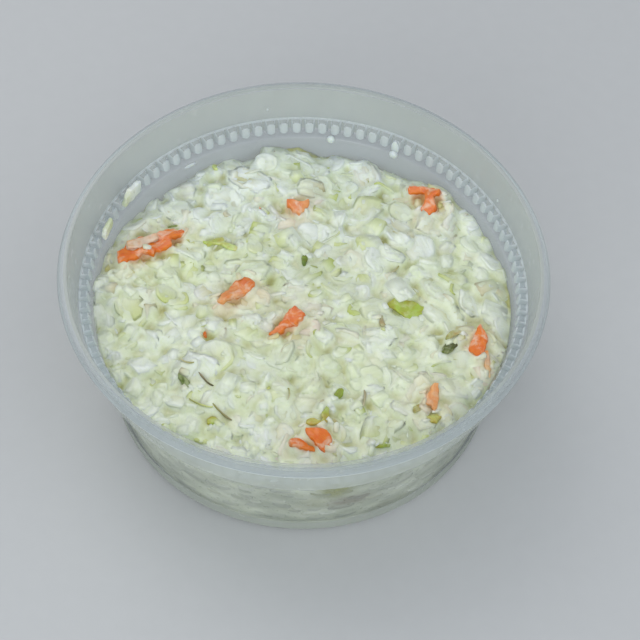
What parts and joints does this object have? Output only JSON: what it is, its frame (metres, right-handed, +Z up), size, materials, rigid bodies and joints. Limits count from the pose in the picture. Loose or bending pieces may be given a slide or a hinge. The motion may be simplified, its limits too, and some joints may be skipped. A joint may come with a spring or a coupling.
{
  "type": "coleslaw in a deli cup",
  "caption": "Round translucent deli cup with a stacking ring and snap rim, filled with finely chopped coleslaw of cabbage, carrot and green leaf.",
  "frame": {"origin": "on the cup's axis, at the plane of the foot ring that the cup stands on", "axes": "+Z up along the cup's axis; -Y towards the side where the heap of slaw stands higher; +X to the right"},
  "size_m": [0.117, 0.117, 0.045],
  "materials": {
    "cup_plastic": "translucent natural polypropylene, soft satin gloss, milky and slightly blue",
    "dressed_slaw": "wet, creamy, off-white dressing over chopped cabbage",
    "cabbage": "wet, pale, slightly see-through chopped cabbage",
    "green_cabbage": "wet, pale to yellow green outer leaf",
    "carrot": "wet orange carrot"
  },
  "bodies": {
    "root": {"cup": "cup_plastic", "coleslaw": "dressed_slaw", "scrap_long": "cabbage", "scrap_short": "cabbage"}
  },
  "joints": []
}
